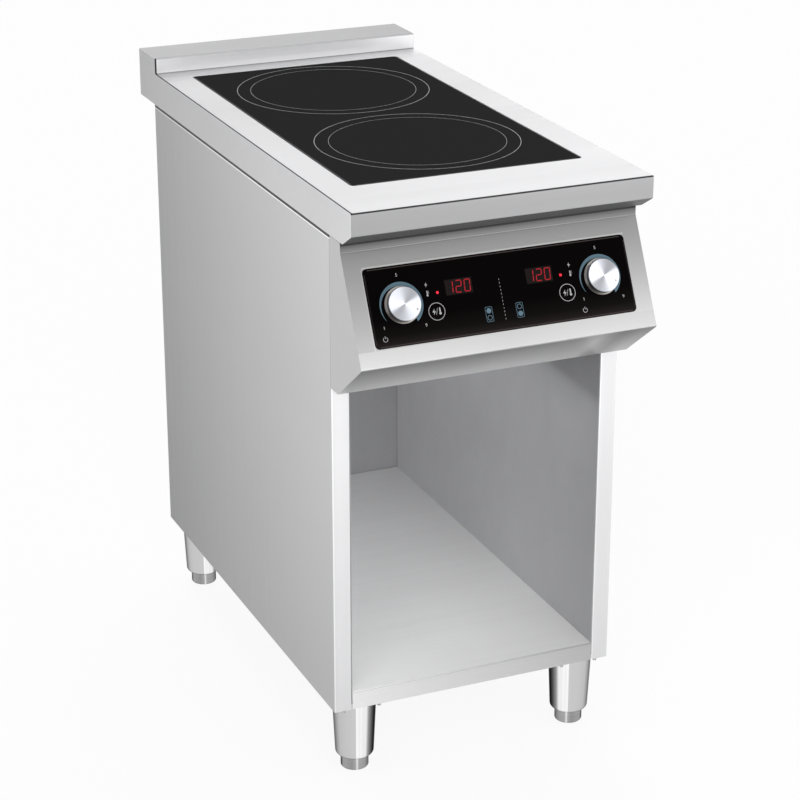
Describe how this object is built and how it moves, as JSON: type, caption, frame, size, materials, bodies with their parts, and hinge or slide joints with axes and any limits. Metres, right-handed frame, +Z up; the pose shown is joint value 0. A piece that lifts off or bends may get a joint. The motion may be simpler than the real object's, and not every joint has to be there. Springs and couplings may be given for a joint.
{
  "type": "electric induction cooktop",
  "caption": "Free-standing catering induction cooktop: ceramic-glass hob in a folded steel worktop, sloped panel with knobs, open storage stand on levelling legs.",
  "frame": {"origin": "on the floor, under the middle of the footprint", "axes": "+X to the right, +Y to the rear, +Z up; the control panel faces -Y"},
  "size_m": [0.4, 0.8245, 0.8155],
  "materials": {
    "worktop_steel": "fine brushed stainless steel",
    "panel_steel": "fine brushed stainless steel",
    "liner_steel": "fine brushed stainless steel",
    "shelf_steel": "fine brushed stainless steel",
    "fascia_steel": "fine brushed stainless steel",
    "leg_steel": "polished stainless steel",
    "foot_steel": "satin stainless steel",
    "fastener_steel": "zinc plated steel",
    "galvanised_steel": "galvanised steel sheet",
    "hob_glass": "gloss black ceramic glass",
    "control_glass": "gloss black printed glass",
    "silicone": "black silicone",
    "rubber": "black rubber",
    "encoder_metal": "die-cast",
    "circuit_board": "solder-masked laminate",
    "brass": "turned",
    "display": "dark epoxy with red segments",
    "lamp": "red lens",
    "mica": "mica laminate",
    "sensor": "ceramic capsule",
    "ferrite": "sintered ferrite",
    "aluminium_sheet": "mill finish",
    "heat_sink_aluminium": "extruded",
    "knob_aluminium": "turned and satin",
    "knob_plastic": "satin metal plating on a moulded core",
    "copper_winding": "enamelled copper litz",
    "carrier_plastic": "glass-filled moulding",
    "terminal_plastic": "moulded",
    "gland_plastic": "moulded polyamide",
    "fan_plastic": "moulded"
  },
  "bodies": {
    "cabinet": {"bay_floor": "galvanised_steel", "board_spacers": "brass", "bonding_stud": "brass", "bottom_shelf": "shelf_steel", "cable_gland": "gland_plastic", "coil_carrier_front": "carrier_plastic", "coil_carrier_rear": "carrier_plastic", "coil_front": "copper_winding", "coil_rear": "copper_winding", "coil_shield": "aluminium_sheet", "coil_springs": "fastener_steel", "compartment_back": "liner_steel", "control_board": "circuit_board", "control_fascia": "fascia_steel", "control_glass": "control_glass", "control_seal": "silicone", "display_modules": "display", "encoder_bodies": "encoder_metal", "fan_frame_left": "fan_plastic", "fan_frame_right": "fan_plastic", "ferrite_bars": "ferrite", "generator_board_left": "circuit_board", "generator_board_right": "circuit_board", "heat_sink_left": "heat_sink_aluminium", "heat_sink_right": "heat_sink_aluminium", "hob_glass": "hob_glass", "hob_seal": "silicone", "indicator_lamps": "lamp", "leg_bolts": "fastener_steel", "leg_brackets": "galvanised_steel", "leg_front_left": "leg_steel", "leg_front_right": "leg_steel", "leg_rear_left": "leg_steel", "leg_rear_right": "leg_steel", "liner_left": "liner_steel", "liner_right": "liner_steel", "mains_filter": "circuit_board", "mica_discs": "mica", "panel_screws": "fastener_steel", "rear_cover": "galvanised_steel", "shaft_seals": "rubber", "side_panel_left": "panel_steel", "side_panel_right": "panel_steel", "temperature_sensors": "sensor", "terminal_block": "terminal_plastic", "touch_springs": "fastener_steel", "worktop": "worktop_steel", "worktop_studs": "fastener_steel"},
    "knob_left": {"knob_cap_left": "knob_aluminium", "knob_core_left": "knob_plastic", "encoder_shaft_left": "fastener_steel"},
    "knob_right": {"knob_cap_right": "knob_aluminium", "knob_core_right": "knob_plastic", "encoder_shaft_right": "fastener_steel"},
    "fan_left": {"fan_rotor_left": "fan_plastic"},
    "fan_right": {"fan_rotor_right": "fan_plastic"},
    "foot_front_left": {"foot_front_left": "foot_steel"},
    "foot_front_right": {"foot_front_right": "foot_steel"},
    "foot_rear_left": {"foot_rear_left": "foot_steel"},
    "foot_rear_right": {"foot_rear_right": "foot_steel"}
  },
  "joints": [
    {"name": "knob_left_turn", "type": "hinge", "parent": "cabinet", "child": "knob_left", "pos_m": [-0.133, -0.3805, 0.6695], "axis": [0, 0.893, -0.45], "range_deg": [-277, 20]},
    {"name": "knob_right_turn", "type": "hinge", "parent": "cabinet", "child": "knob_right", "pos_m": [0.133, -0.3805, 0.6695], "axis": [0, 0.893, -0.45], "range_deg": [-277, 20]},
    {"name": "fan_left_spin", "type": "hinge", "parent": "cabinet", "child": "fan_left", "pos_m": [-0.088, -0.2055, 0.601], "axis": [0, 1, 0], "continuous": true},
    {"name": "fan_right_spin", "type": "hinge", "parent": "cabinet", "child": "fan_right", "pos_m": [0.088, -0.2055, 0.601], "axis": [0, 1, 0], "continuous": true},
    {"name": "foot_front_left_screw", "type": "slide", "parent": "cabinet", "child": "foot_front_left", "axis": [0, 0, -1], "range_m": [0, 0.045]},
    {"name": "foot_front_right_screw", "type": "slide", "parent": "cabinet", "child": "foot_front_right", "axis": [0, 0, -1], "range_m": [0, 0.045]},
    {"name": "foot_rear_left_screw", "type": "slide", "parent": "cabinet", "child": "foot_rear_left", "axis": [0, 0, -1], "range_m": [0, 0.045]},
    {"name": "foot_rear_right_screw", "type": "slide", "parent": "cabinet", "child": "foot_rear_right", "axis": [0, 0, -1], "range_m": [0, 0.045]}
  ]
}
